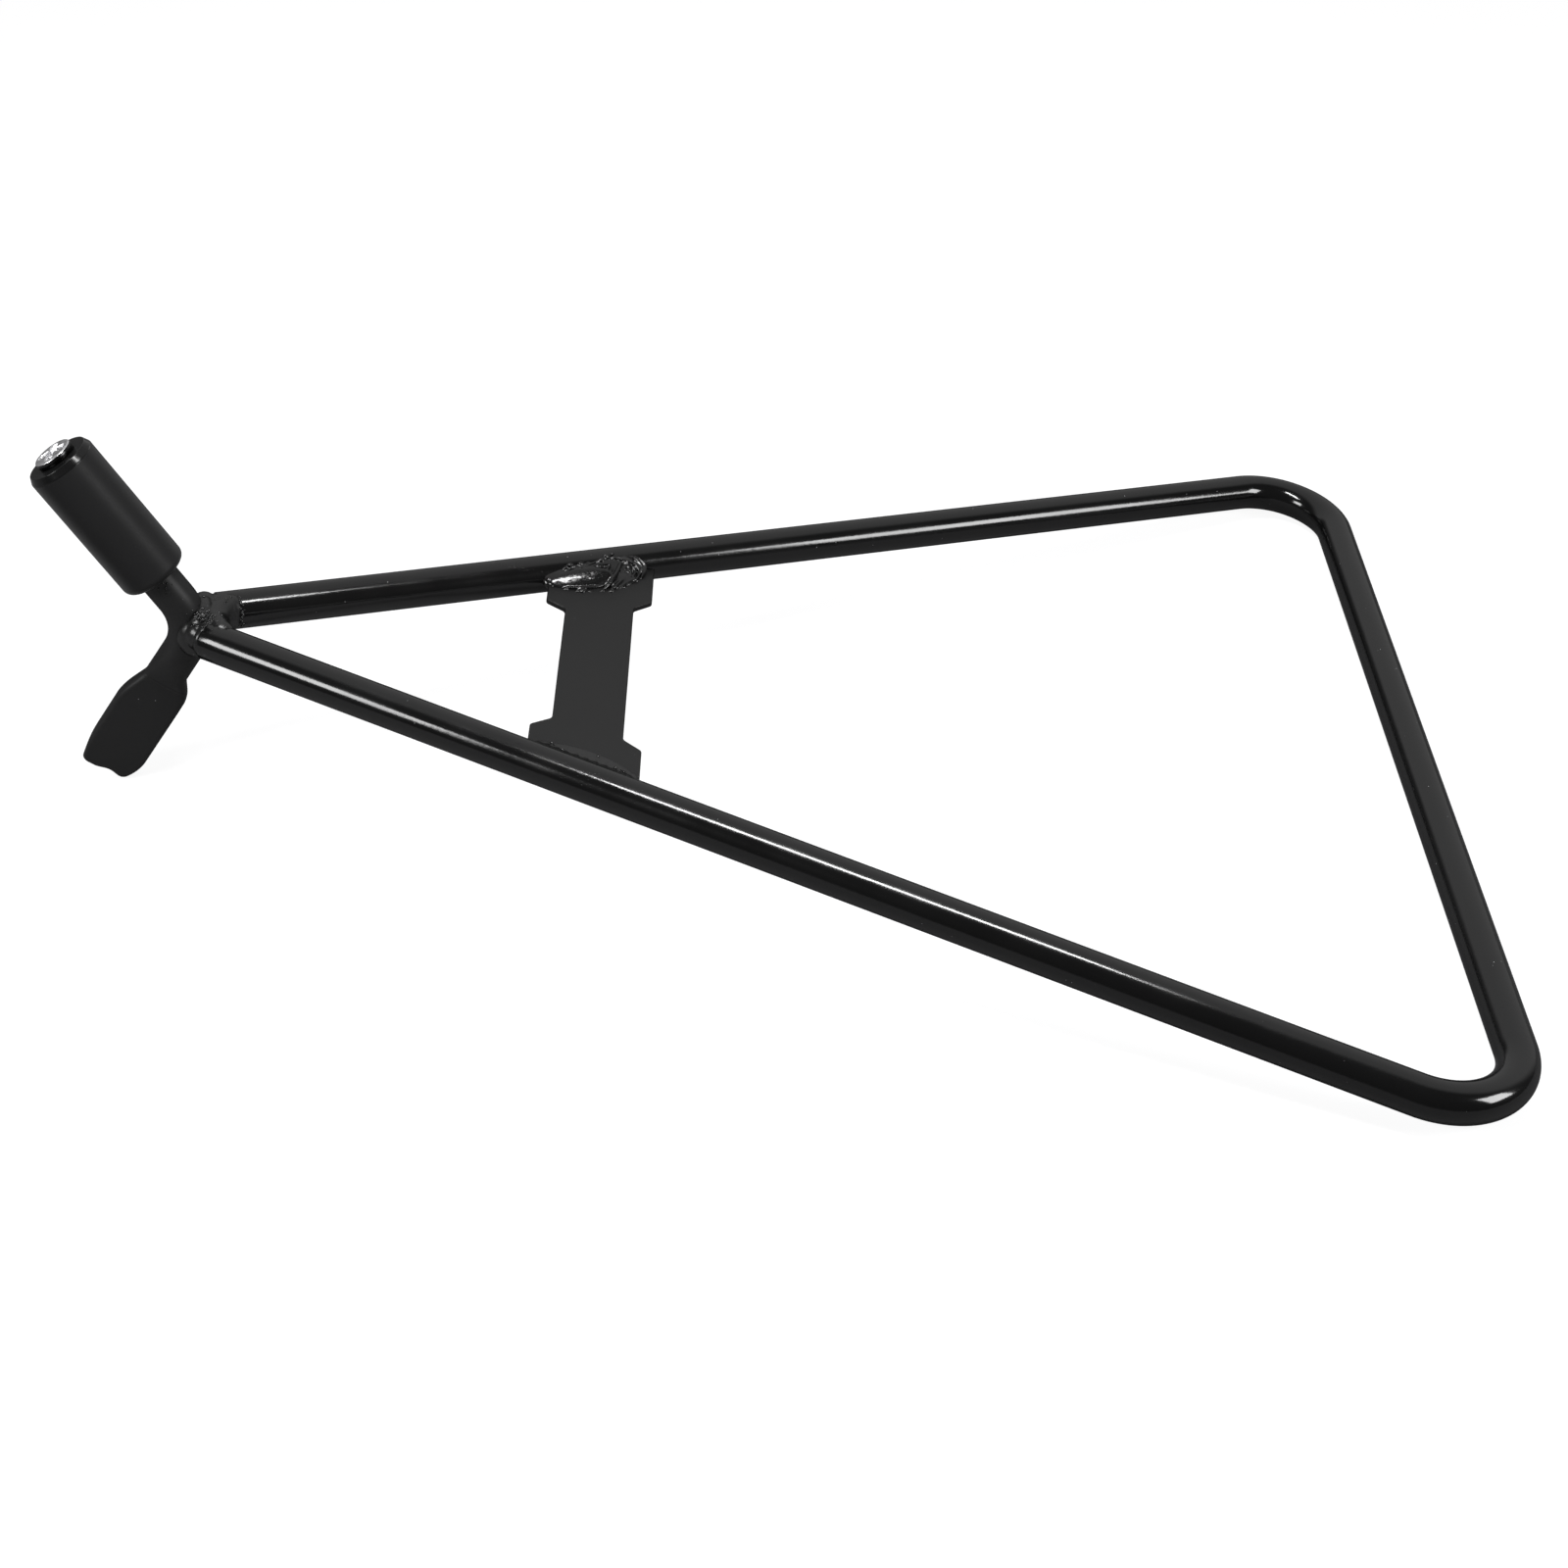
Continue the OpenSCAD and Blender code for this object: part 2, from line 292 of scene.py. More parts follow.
class Finish:
    """One procedural material, built node by node round its Principled shader."""

    def __init__(self, name):
        self.material = bpy.data.materials.new(name)
        self.material.use_nodes = True
        self.tree = self.material.node_tree
        self.shader = self.tree.nodes["Principled BSDF"]
        self.position = self.tree.nodes.new("ShaderNodeTexCoord").outputs["Object"]

    def join(self, value, socket):
        """Feeds a socket from another node's output, or sets it to a plain value."""
        if isinstance(value, bpy.types.NodeSocket):
            self.tree.links.new(value, socket)
        else:
            socket.default_value = value

    def set(self, **inputs):
        """Sets the shader's inputs; an underscore stands for a space."""
        for key, value in inputs.items():
            self.join(value, self.shader.inputs[key.replace("_", " ")])

    def noise(self, size_mm, detail=3.0, roughness=0.5, position=None):
        """Soft noise with features of about this size."""
        node = self.tree.nodes.new("ShaderNodeTexNoise")
        self.join(position or self.position, node.inputs["Vector"])
        node.inputs["Scale"].default_value = 1 / (size_mm * MM)
        node.inputs["Detail"].default_value = detail
        node.inputs["Roughness"].default_value = roughness
        return node.outputs["Fac"]

    def cells(self, size_mm):
        """Distance to the nearest of a scatter of points about this far apart."""
        node = self.tree.nodes.new("ShaderNodeTexVoronoi")
        self.join(self.position, node.inputs["Vector"])
        node.inputs["Scale"].default_value = 1 / (size_mm * MM)
        return node.outputs["Distance"]

    def stretch(self, scale):
        """The position with its axes scaled, for streaky noise."""
        node = self.tree.nodes.new("ShaderNodeMapping")
        self.join(self.position, node.inputs["Vector"])
        node.inputs["Scale"].default_value = scale
        return node.outputs["Vector"]

    def span(self, value, low, high, to_low=0.0, to_high=1.0):
        """Maps low..high of a value smoothly to another range."""
        node = self.tree.nodes.new("ShaderNodeMapRange")
        node.interpolation_type = "SMOOTHSTEP"
        for socket, number in zip(node.inputs, (value, low, high, to_low, to_high)):
            self.join(number, socket)
        return node.outputs["Result"]

    def maths(self, operation, first, second):
        """One operation on two values."""
        node = self.tree.nodes.new("ShaderNodeMath")
        node.operation = operation
        self.join(first, node.inputs[0])
        self.join(second, node.inputs[1])
        return node.outputs["Value"]

    def grey(self, fraction, low, high):
        """A neutral colour between two grey levels, a trace bluer than pure grey."""
        return self.blend(fraction, (low, low, low * 1.02, 1), (high, high, high * 1.02, 1))

    def blend(self, fraction, first, second):
        """A mix of two colours, each plain or from a node."""
        node = self.tree.nodes.new("ShaderNodeMix")
        node.data_type = "RGBA"
        self.join(fraction, node.inputs["Factor"])
        self.join(first, node.inputs["A"])
        self.join(second, node.inputs["B"])
        return node.outputs["Result"]

    def edges(self, low, high):
        """1 on sharp outer edges and 0 elsewhere."""
        node = self.tree.nodes.new("ShaderNodeNewGeometry")
        return self.span(node.outputs["Pointiness"], low, high)

    def sheen_range(self, level, glancing_level):
        """Strength of the sheen, seen square on and at a glancing angle."""
        node = self.tree.nodes.new("ShaderNodeLayerWeight")
        node.inputs["Blend"].default_value = 0.5
        self.set(Specular_IOR_Level=self.span(node.outputs["Facing"], 0.3, 0.8, level, glancing_level))

    def bump(self, height, depth_mm, under=None):
        """Raises the surface by a height map; returns the normal to feed on."""
        node = self.tree.nodes.new("ShaderNodeBump")
        node.inputs["Distance"].default_value = depth_mm * MM
        self.join(height, node.inputs["Height"])
        if under is not None:
            self.join(under, node.inputs["Normal"])
        return node.outputs["Normal"]


def powder_coat(name, gloss, peel_mm, peel_depth_mm, level, dust, sheen=0.5):
    """Black powder coat: orange peel, faint cloudiness, dust caught in it, and sharp edges painted lighter
    in patches, partly as wear and partly as a painted highlight.
    """
    finish = Finish(name)
    peel = finish.noise(peel_mm, detail=2.0)
    grain = finish.noise(peel_mm / 4, detail=3.0)
    cloud = finish.noise(26.0, detail=4.0)
    rub = finish.noise(3.0, detail=5.0, roughness=0.7)
    speck = finish.span(finish.cells(3.4), 0.03, 0.055, 1.0, 0.0)
    speck = finish.maths("MULTIPLY", speck, finish.span(finish.noise(9.0), 0.5, 0.62))
    speck = finish.maths("MULTIPLY", speck, dust)
    # Sharp edges get a lighter grey in patches: partly edge wear, partly a painted highlight along the
    # edges.
    worn_and_highlit_edge = finish.maths("MULTIPLY", finish.edges(0.54, 0.62), finish.span(rub, 0.5, 0.68, 0.0, 0.8))
    coat = finish.grey(cloud, level * 0.85, level * 1.2)
    dusty = finish.blend(speck, coat, (0.32, 0.32, 0.33, 1))
    finish.set(Base_Color=finish.blend(worn_and_highlit_edge, dusty, (0.05, 0.05, 0.052, 1)))
    uneven = finish.maths("ADD", finish.span(cloud, 0.3, 0.7, -0.03, 0.04), gloss)
    finish.set(Roughness=finish.maths("ADD", uneven, finish.maths("MULTIPLY", speck, 0.4)))
    under = finish.bump(peel, peel_depth_mm)
    under = finish.bump(grain, peel_depth_mm / 5, under)
    finish.set(Normal=finish.bump(speck, 0.05, under), IOR=1.5)
    finish.sheen_range(sheen, 0.03)
    return finish.material


def sleeve_plastic():
    """Black moulded nylon with a fine matt grain, rubbed by the axle and shiny round its rims."""
    finish = Finish("sleeve")
    grain = finish.noise(0.35, detail=2.0)
    wave = finish.noise(14.0, detail=2.0)
    rubbed = finish.noise(1.2, detail=4.0, position=finish.stretch((1.0, 6.0, 1.0)))
    rim = finish.edges(0.52, 0.56)
    finish.set(Base_Color=finish.grey(wave, 0.0135, 0.0165))
    matt = finish.span(rubbed, 0.35, 0.7, 0.40, 0.47)
    finish.set(Roughness=finish.maths("SUBTRACT", matt, finish.maths("MULTIPLY", rim, 0.2)))
    under = finish.bump(grain, 0.006)
    finish.set(Normal=finish.bump(wave, 0.03, under), IOR=1.49)
    finish.sheen_range(finish.span(rim, 0.0, 1.0, 0.09, 0.6), 0.6)
    return finish.material


def turned_plastic():
    """The sleeve's turned end and chamfer: smoother and blacker, with fine tool marks and shiny rims."""
    finish = Finish("sleeve_end")
    rim = finish.edges(0.51, 0.54)
    wave = finish.noise(5.0, detail=3.0)
    marks = finish.noise(0.3, detail=2.0)
    finish.set(Base_Color=finish.grey(wave, 0.005, 0.008))
    finish.set(Roughness=finish.span(wave, 0.35, 0.65, 0.13, 0.2))
    finish.set(Normal=finish.bump(marks, 0.003), IOR=1.49)
    finish.sheen_range(finish.span(rim, 0.0, 1.0, 0.22, 1.0), finish.span(rim, 0.0, 1.0, 0.2, 1.0))
    return finish.material


def screw_steel():
    """Bright zinc-plated steel with turning marks, darker in its hollows, which is painted shade."""
    finish = Finish("screw")
    scratch = finish.noise(0.25, detail=4.0, roughness=0.7)
    cloud = finish.noise(1.6, detail=3.0)
    hollow = finish.tree.nodes.new("ShaderNodeNewGeometry").outputs["Pointiness"]
    # Painted shade: the colour darkens where the surface is hollow, as in the cross recess.
    outside_painted_shade = finish.span(hollow, 0.40, 0.50)
    finish.set(Metallic=1.0, Base_Color=finish.grey(outside_painted_shade, 0.22, 0.72))
    finish.set(Roughness=finish.span(cloud, 0.3, 0.7, 0.26, 0.42))
    finish.set(Normal=finish.bump(scratch, 0.02))
    return finish.material


def black_steel():
    """Blackened steel, for the screw's sides."""
    finish = Finish("screw_side")
    cloud = finish.noise(1.6, detail=3.0)
    finish.set(Metallic=1.0, Base_Color=finish.grey(cloud, 0.03, 0.06))
    finish.set(Roughness=finish.span(cloud, 0.3, 0.7, 0.2, 0.32))
    finish.set(Normal=finish.bump(finish.noise(0.4), 0.01))
    return finish.material


def pale_floor():
    """Matt off-white paper, lit a little from below where the camera sees it, darker in reflections, with a
    faint painted glow towards -X that the stand reflects.
    """
    finish = Finish("floor")
    mottle = finish.noise(120.0, detail=3.0)
    fibre = finish.noise(1.5, detail=3.0)
    finish.set(Base_Color=finish.grey(mottle, 0.18, 0.19), Roughness=0.9)
    seen = finish.tree.nodes.new("ShaderNodeLightPath").outputs["Is Camera Ray"]
    finish.set(Normal=finish.bump(fibre, 0.02), Specular_IOR_Level=0.0, Emission_Color=(1, 1, 1, 1))
    apart = finish.tree.nodes.new("ShaderNodeSeparateXYZ")
    finish.join(finish.position, apart.inputs[0])
    # Painted glow: towards -X the floor gives off faint light that only reflections and bounced light on
    # the stand see.
    glow_in_reflections = finish.span(apart.outputs["X"], -0.35, 0.3, 0.1, 0.0)
    finish.set(Emission_Strength=finish.maths("MAXIMUM", finish.maths("MULTIPLY", seen, 0.9), glow_in_reflections))
    return finish.material


ROD_COAT = powder_coat("rod_coat", gloss=0.14, peel_mm=1.8, peel_depth_mm=0.016, level=0.0036, dust=1.0)
SATIN_COAT = powder_coat("satin_coat", gloss=0.33, peel_mm=1.6, peel_depth_mm=0.012, level=0.0056, dust=0.8)
MATT_COAT = powder_coat("matt_coat", gloss=0.45, peel_mm=1.6, peel_depth_mm=0.012, level=0.0098, dust=0.8,
                        sheen=0.3)
PLATE_COAT = powder_coat("plate_coat", gloss=0.42, peel_mm=1.6, peel_depth_mm=0.01, level=0.004, dust=0.3,
                         sheen=0.34)
WELD_COAT = powder_coat("weld_coat", gloss=0.18, peel_mm=1.0, peel_depth_mm=0.008, level=0.0036, dust=0.6)
SLEEVE_PLASTIC = sleeve_plastic()
SLEEVE_END = turned_plastic()
SCREW_STEEL = screw_steel()
SCREW_SIDE = black_steel()


# ---------------------------------------------------------------- rod frame

def frame_path():
    """Points and directions along the bent rod, from the near leg's sawn end to the far leg's."""
    steps_straight = 48
    steps_corner = 36
    steps_bar = 24
    half = []
    along = leg_along(NEAR)
    for s in np.linspace(LEG_START + SAWN_EDGE, LEG_END, steps_straight):
        half.append((s * along, along))
    centre = np.array((FRAME_DEPTH - CORNER_R, CORNER_TANGENT - BASE_HALF, 0.0))
    for angle in np.linspace(-CORNER_TURN, 0, steps_corner + 1)[1:]:
        out = np.array((math.cos(angle), math.sin(angle), 0.0))
        half.append((centre + CORNER_R * out, np.cross(UP, out)))
    other = [(p * (1, -1, 1), d * (-1, 1, 1)) for p, d in reversed(half)]
    bar_from = half[-1][0][1]
    bar = [(np.array((FRAME_DEPTH, y, 0.0)), SIDEWAYS) for y in np.linspace(bar_from, -bar_from, steps_bar)]
    return half + bar[1:-1] + other


def build_rod_frame():
    """The round bar bent into two legs and a base bar."""
    path = frame_path()
    rings = [ring(p, np.cross(d, UP), UP, circle(ROD_R)) for p, d in path]
    for end, sign in ((0, -1), (-1, 1)):
        p, d = path[end]
        tips = []
        for angle in (60, 30, 0):
            turn = math.radians(angle)
            depth = SAWN_EDGE * math.cos(turn)
            inset = SAWN_EDGE * (1 - math.sin(turn))
            tips.append(ring(p + sign * depth * d, np.cross(d, UP), UP, circle(ROD_R - inset)))
        rings = tips[::-1] + rings if end == 0 else rings + tips
    place("rod_frame", make_mesh("rod_frame", *skin(rings)), "stand", ROD_COAT,
          ["frame_loop"])


# ---------------------------------------------------------------- pin rod and foot

def foot_half(u, side):
    """Half width of the foot at u along the lower arm, on its short or long side."""
    shoulder, nose_length, nose_depth, corner = side
    forged = FOOT_ROOT + (FOOT_W / 2 - FOOT_ROOT) * ease((u - FOOT_START) / shoulder)
    forged -= nose_depth * (max(u - (FOOT_END - nose_length), 0) / nose_length) ** 2
    least = ROD_R if u < FOOT_START + shoulder else 0
    over = min(max(u - (FOOT_END - corner), 0), corner)
    return max(least, forged) - corner + math.sqrt(corner ** 2 - over ** 2)


def bar_quarter(half_w, half_t, edge):
    """A quarter of a rounded bar's outline, from (half_w, 0) to (0, half_t)."""
    points = [(half_w, (half_t - edge) * i / 3) for i in range(3)]
    for i in range(9):
        turn = i / 9 * math.pi / 2
        points.append((half_w - edge + edge * math.cos(turn), half_t - edge + edge * math.sin(turn)))
    flat = SIDES // 4 - 12
    points += [((half_w - edge) * (1 - i / flat), half_t) for i in range(flat + 1)]
    return np.array(points)


def bar_section(short_w, long_w, half_t, forged, inset=0.0):
    """Section of the lower arm: a rod with two flats that turns into a rounded bar as forged goes to 1."""
    edge = FOOT_EDGE - 0.6 * inset
    short = bar_quarter(short_w - inset, half_t - inset, edge)
    long = bar_quarter(long_w - inset, half_t - inset, edge)
    top = np.concatenate((short[:-1], long[::-1] * (-1, 1)))
    bar = np.concatenate((top, top[-2:0:-1] * (1, -1)))
    rod = circle(1.0)
    rod[:, 0] *= np.where(rod[:, 0] > 0, short_w, long_w)
    squareness = 0.55 + 0.45 * (half_t - FOOT_T / 2) / (ROD_R - FOOT_T / 2)
    rod[:, 1] = half_t * np.sign(rod[:, 1]) * np.abs(rod[:, 1]) ** squareness
    return bar * forged + rod * (1 - forged)


def foot_ring(u, inset=0.0):
    """Ring of the lower arm at u from the vertex; near the tip it follows the hollow in the edge."""
    heading = math.pi - FOOT_ANGLE
    thinned = min(max((u - FLATS_START) / FLATS_LENGTH, 0), 1) ** 1.6
    half_t = ROD_R - (ROD_R - FOOT_T / 2) * thinned
    half_t += FLATS_LIP * math.exp(-((u - FLATS_START - FLATS_LENGTH - 0.3) / 0.35) ** 2)
    section = bar_section(foot_half(u, SHORT_SIDE), foot_half(u, LONG_SIDE), half_t,
                          ease((u - FOOT_START) / 16), inset)
    dip = np.abs(section[:, 0] - TIP_DIP_AT) / TIP_DIP_HALF
    hollow = np.where(dip < 1, TIP_DIP * (1 + np.cos(np.pi * np.minimum(dip, 1))) / 2, 0)
    back = hollow * ease((u - (FOOT_END - 6)) / 6)
    centre = VERTEX - u * in_plane(heading)
    points = ring(centre, in_plane(heading - math.pi / 2), SIDEWAYS, section)
    return points + np.outer(back, in_plane(heading))


def build_pin_rod():
    """One bar: a forged flat foot, the bend through the apex and the turned pin inside the sleeve."""
    rings = []
    for angle in (0, 18, 36, 54, 72):
        turn = math.radians(angle)
        setback = FOOT_EDGE * (1 - math.cos(turn))
        rings.append(foot_ring(FOOT_END - setback, FOOT_EDGE * (1 - math.sin(turn))))
    for u in np.linspace(FOOT_END - FOOT_EDGE, ARM_TANGENT, 210):
        rings.append(foot_ring(u))
    toward = math.pi + (PIN_ANGLE - FOOT_ANGLE) / 2
    centre = VERTEX + BEND_R / math.cos(PIN_TURN / 2) * in_plane(toward)
    for heading in np.linspace(math.pi - FOOT_ANGLE, PIN_ANGLE, 24)[1:]:
        out = in_plane(heading - math.pi / 2)
        rings.append(ring(centre + BEND_R * out, out, SIDEWAYS, circle(ROD_R)))
    profile = [(ROD_R, along) for along in np.linspace(ARM_TANGENT, SHOULDER_AT - 0.5, 16)[1:]]
    profile += [(ROD_R - 0.5, SHOULDER_AT), (SPIGOT_R, SHOULDER_AT), (SPIGOT_R, SPIGOT_END - 0.4)]
    profile += [(SPIGOT_R - 0.4, SPIGOT_END), (HOLE_R + 0.3, SPIGOT_END), (HOLE_R, SPIGOT_END - 0.3)]
    profile += [(HOLE_R, SPIGOT_END - HOLE_DEPTH), (0.3, SPIGOT_END - HOLE_DEPTH - HOLE_R / math.sqrt(3))]
    rings += turned(profile, VERTEX)
    mesh = make_mesh("pin_and_foot", *skin(rings))
    mesh.set_sharp_from_angle(angle=math.radians(50))
    place("pin_and_foot", mesh, "stand", MATT_COAT, ["pin_rod"])


# ---------------------------------------------------------------- cross plate

def plate_corners():
    """Corners of the waisted plate, its ends butting on the two rods."""
    waist = PLATE_WAIST / 2
    flare = PLATE_FLARE / 2
    buried = ROD_R - 0.6
    corners = []
    for edge, side in ((-1, NEAR), (-1, FAR), (1, FAR), (1, NEAR)):
        row = 0 if edge < 0 else 1
        skew = 0 if edge < 0 else FLARE_SKEW
        x = PLATE_AT + edge * flare
        rod_y = side * (x * math.tan(HALF_APEX) - buried / math.cos(HALF_APEX))
        flared = [
            (x, rod_y, 0),
            (x, side * FLARE_OUT[row] - skew, FLARE_ROUND),
            (PLATE_AT + WAIST_SHIFT + edge * waist, side * FLARE_IN[row] - skew, WAIST_ROUND),
        ]
        corners += flared if (edge < 0) == (side == NEAR) else flared[::-1]
    return corners


def inset_outline(outline, distance):
    """A counterclockwise outline moved inward."""
    ahead = np.roll(outline, -1, axis=0) - outline
    ahead /= np.linalg.norm(ahead, axis=1)[:, None]
    inward = np.stack((-ahead[:, 1], ahead[:, 0]), axis=1)
    both = inward + np.roll(inward, 1, axis=0)
    length = (both ** 2).sum(axis=1) / 2
    return outline + distance * both / length[:, None]


def build_plate():
    """The waisted plate, with every cut edge rounded over."""
    outline = filleted(plate_corners())
    area = np.cross(outline, np.roll(outline, -1, axis=0)).sum()
    if area < 0:
        outline = outline[::-1]
    layers = []
    for sign in (-1, 1):
        for angle in (90, 60, 30, 0)[::-sign]:
            turn = math.radians(angle)
            height = sign * (PLATE_T / 2 - PLATE_EDGE * (1 - math.sin(turn)))
            flat = inset_outline(outline, PLATE_EDGE * (1 - math.cos(turn)))
            layers.append(np.column_stack((flat, np.full(len(flat), height))))
    count = len(outline)
    vertices, faces = skin(layers, looped=True)
    faces = faces[:count * (len(layers) - 1)]
    faces += [tuple(range(count)), tuple(range(count * (len(layers) - 1), count * len(layers)))]
    place("waisted_plate", make_mesh("waisted_plate", vertices, faces), "stand", PLATE_COAT,
          ["cross_plate"], flats=True)


# ---------------------------------------------------------------- sleeve and screw

def build_sleeve():
    """A thick cap that turns on the pin, with an end wall held by the screw."""
    bore = ROD_R + RUNNING_GAP
    hole = SPIGOT_R + RUNNING_GAP
    chamfer_in, chamfer_down = SLEEVE_CHAMFER
    profile = filleted([
        (bore, 0, 0.4),
        (SLEEVE_R, 0, 2.4),
        (SLEEVE_R, SLEEVE_LENGTH - chamfer_down, 0.9),
        (SLEEVE_R - chamfer_in, SLEEVE_LENGTH, 0.3),
        (hole, SLEEVE_LENGTH, 0.3),
        (hole, SLEEVE_LENGTH - SLEEVE_WALL, 0),
        (bore, SLEEVE_LENGTH - SLEEVE_WALL, 0.3),
    ])
    rings = turned(profile, VERTEX + SLEEVE_START * PIN_AXIS)
    mesh = make_mesh("axle_sleeve", *skin(rings, looped=True))
    place("axle_sleeve", mesh, "sleeve", SLEEVE_PLASTIC, ["plug_sleeve"], flats=True)
    mesh.materials.append(SLEEVE_END)
    turned_from = SLEEVE_LENGTH - chamfer_down - 0.6
    for face in mesh.polygons:
        if profile[face.index // SIDES][1] > turned_from:
            face.material_index = 1


def recess_depth(x, y):
    """Depth of the cross recess at a point of the screw's head; both arms have sloping walls and ends."""
    deepest = 0.0
    for along, across in ((x, y), (y, x)):
        wall = ease((RECESS_HALF - abs(across)) / RECESS_WALL)
        end = ease((RECESS_REACH - abs(along)) / RECESS_END)
        deepest = max(deepest, RECESS_DEPTH * wall * end)
    return deepest


def build_screw():
    """The screw: a low bright head with a cross recess, over dark sides and a threaded shank."""
    base = VERTEX + SPIGOT_END * PIN_AXIS
    rim = 0.55
    dome = 0.25
    flat_r = HEAD_R - rim
    flat_h = HEAD_H - dome
    rings = []
    for radius in np.linspace(0.06, flat_r, 42):
        section = circle(radius)
        rise = dome * (1 - (radius / flat_r) ** 2)
        heights = np.array([flat_h + rise - recess_depth(x, y) for x, y in section])
        rings.append(ring(base, PIN_ACROSS, SIDEWAYS, section) + np.outer(heights, PIN_AXIS))
    bright_faces = (len(rings) + 1) * SIDES
    profile = []
    for angle in (60, 30, 0):
        turn = math.radians(angle)
        profile.append((flat_r + rim * math.cos(turn), flat_h - rim * (1 - math.sin(turn))))
    profile += [(HEAD_R, 0.2), (HEAD_R - 0.2, 0), (SCREW_R + 0.1, 0)]
    rings += turned(profile, base)
    turns = np.arange(SIDES) / SIDES
    for depth in np.arange(0.2, SCREW_LENGTH, 0.125):
        groove = np.abs((depth / THREAD_PITCH + turns) % 1 - 0.5) * 2
        fade = min(1.0, (depth - 0.2) / 1.5, (SCREW_LENGTH - depth) / 0.8)
        radii = SCREW_R - THREAD_DEPTH * groove * fade
        section = circle(1.0) * radii[:, None]
        rings.append(ring(base - depth * PIN_AXIS, PIN_ACROSS, SIDEWAYS, section))
    mesh = make_mesh("cross_screw", *skin(rings))
    mesh.set_sharp_from_angle(angle=math.radians(60))
    place("cross_screw", mesh, "stand", SCREW_STEEL, ["sleeve_screw"])
    mesh.materials.append(SCREW_SIDE)
    for face in mesh.polygons:
        if face.index >= bright_faces and face.loop_total == 4:
            face.material_index = 1


# ---------------------------------------------------------------- welds

def add_blob(shape, centre, radii, along=(1, 0, 0), lean=0.0, pitch=0.0, detail=3):
    """A stretched ball: radii are along it (never upright), across it and upward; lean and pitch tip it."""
    x = Vector(along).normalized()
    y = Vector((0, 0, 1)).cross(x).normalized()
    z = x.cross(y)
    turn = Matrix((x, y, z)).transposed().to_4x4()
    tip = Matrix.Rotation(lean, 4, "X") @ Matrix.Rotation(pitch, 4, "Y")
    size = Matrix.Diagonal((*radii, 1))
    matrix = Matrix.Translation(Vector(centre)) @ turn @ tip @ size
    bmesh.ops.create_icosphere(shape, subdivisions=detail, radius=1, matrix=matrix)


def add_ridge(shape, points, radius, ends=0.6):
    """A run of weld metal that bends smoothly past the points, thinner at its ends."""
    points = np.array(points, float)
    for _ in range(2):
        starts = 0.75 * points[:-1] + 0.25 * points[1:]
        stops = 0.25 * points[:-1] + 0.75 * points[1:]
        cut = np.stack((starts, stops), axis=1).reshape(-1, 3)
        points = np.concatenate((points[:1], cut, points[-1:]))
    lengths = np.linalg.norm(np.diff(points, axis=0), axis=1)
    travel = np.concatenate(([0], np.cumsum(lengths)))
    count = max(3, int(travel[-1] / (0.5 * radius)))
    for i in range(count + 1):
        t = travel[-1] * i / count
        centre = [np.interp(t, travel, points[:, axis]) for axis in range(3)]
        swell = ends + (1 - ends) * math.sin(math.pi * i / count)
        add_blob(shape, centre, [radius * swell] * 3, detail=2)


def melted(name, shape, grain, smoothing, roughness_mm, seed):
    """Fuses blobs into one skin, softens the joins and leaves it slightly lumpy."""
    raw = bpy.data.meshes.new(name + "_raw")
    shape.to_mesh(raw)
    shape.free()
    holder = bpy.data.objects.new(name + "_raw", raw)
    bpy.context.scene.collection.objects.link(holder)
    remesh = holder.modifiers.new("fuse", "REMESH")
    remesh.mode = "VOXEL"
    remesh.voxel_size = grain
    smooth = holder.modifiers.new("soften", "SMOOTH")
    smooth.factor = 0.5
    smooth.iterations = smoothing
    bpy.context.view_layer.update()
    done = holder.evaluated_get(bpy.context.evaluated_depsgraph_get())
    mesh = bpy.data.meshes.new_from_object(done)
    mesh.name = name
    bpy.data.objects.remove(holder)
    bpy.data.meshes.remove(raw)
    shift = Vector((seed * 17.0, seed * 5.0, 0))
    moved = []
    for vertex in mesh.vertices:
        coarse = noise.noise(vertex.co / LUMP_MM + shift)
        fine = noise.noise(vertex.co / RIPPLE_MM + shift)
        moved.append(vertex.co + vertex.normal * roughness_mm * (coarse + 0.45 * fine))
    for vertex, spot in zip(mesh.vertices, moved):
        vertex.co = spot
    return mesh


def far_weld_body():
    """The smooth body of the far plate weld: a swollen row of blobs, a low facet and two lobes."""
    along = leg_along(FAR)
    shape = bmesh.new()
    for s in np.arange(125.5, 155.5, 1.5):
        swell = 1 - ((s - 141) / 17) ** 2
        radii = (3.4, 2.8 + 2.5 * swell, 1.7 + 1.9 * swell)
        add_blob(shape, by_leg(FAR, s, 6.2, 1.1), radii, along, lean=0.5)
    add_blob(shape, by_leg(FAR, 134.2, 9.4, 2.7), (10.5, 3.8, 0.8), along, lean=0.63, pitch=-0.13)
    add_blob(shape, by_leg(FAR, 146.0, 10.0, 1.2), (7.0, 4.4, 1.9), along, lean=0.25)
    add_blob(shape, by_leg(FAR, 147.0, 5.0, 3.0), (7.5, 3.8, 2.1), along, lean=0.5)
    return melted("weld_body", shape, grain=0.4, smoothing=8, roughness_mm=0.03, seed=1)


